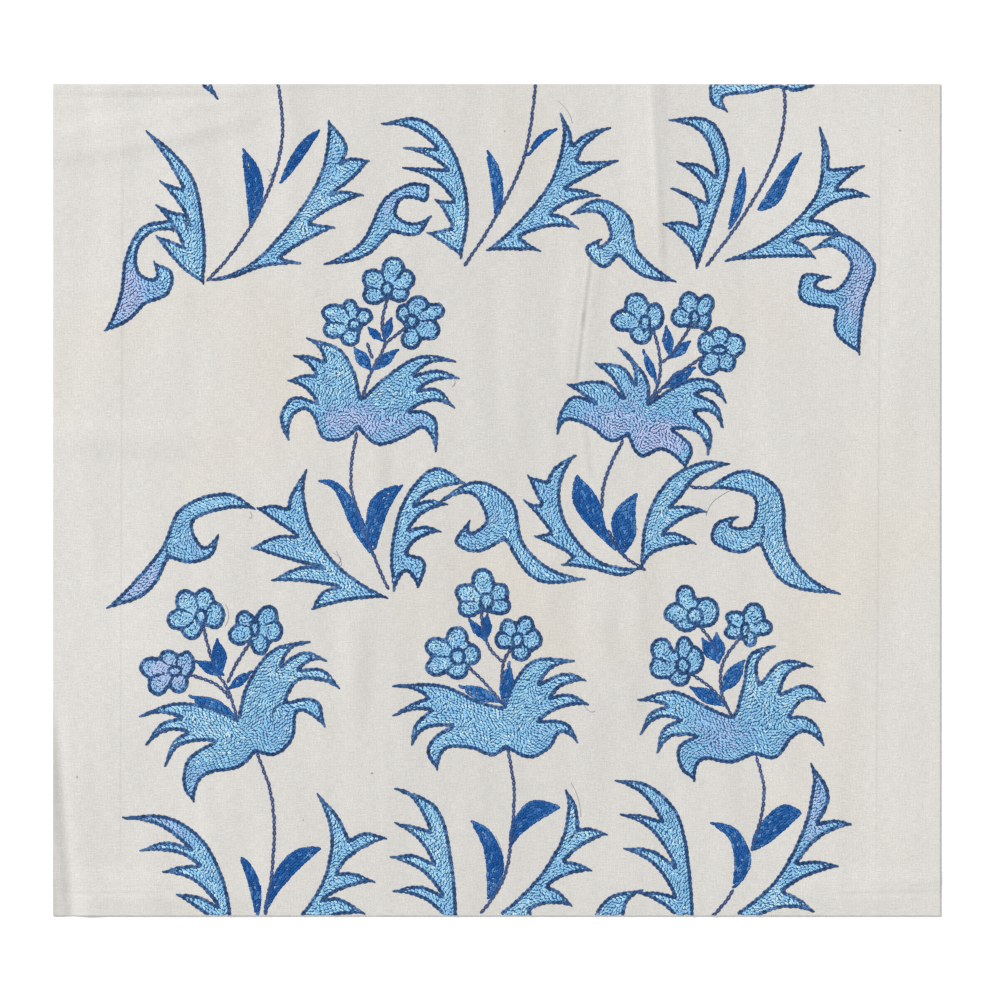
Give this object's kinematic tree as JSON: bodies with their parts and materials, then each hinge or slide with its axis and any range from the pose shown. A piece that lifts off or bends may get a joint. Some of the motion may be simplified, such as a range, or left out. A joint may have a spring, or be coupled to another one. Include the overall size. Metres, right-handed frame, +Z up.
{
  "type": "suzani embroidered textile",
  "caption": "Flat length of off-white cotton with blue chain-stitch flower sprays, toothed leaves and scrolls, lying with soft creases.",
  "frame": {"origin": "middle of the cloth on the surface it rests on", "axes": "+X along the longer side, +Y towards the top edge of the pattern, +Z up out of the cloth"},
  "size_m": [0.4001, 0.3752, 0.0023],
  "materials": {
    "cotton_ground": "plain-woven unbleached cotton, matt",
    "thread_navy": "two-ply cotton thread, soft sheen, outlines",
    "thread_royal": "two-ply cotton thread, soft sheen, dark leaves",
    "thread_sky": "two-ply cotton thread, soft sheen, shaded sky blue, mid blue and lavender fillings"
  },
  "bodies": {
    "root": {"ground_cloth": "cotton_ground"}
  },
  "joints": []
}
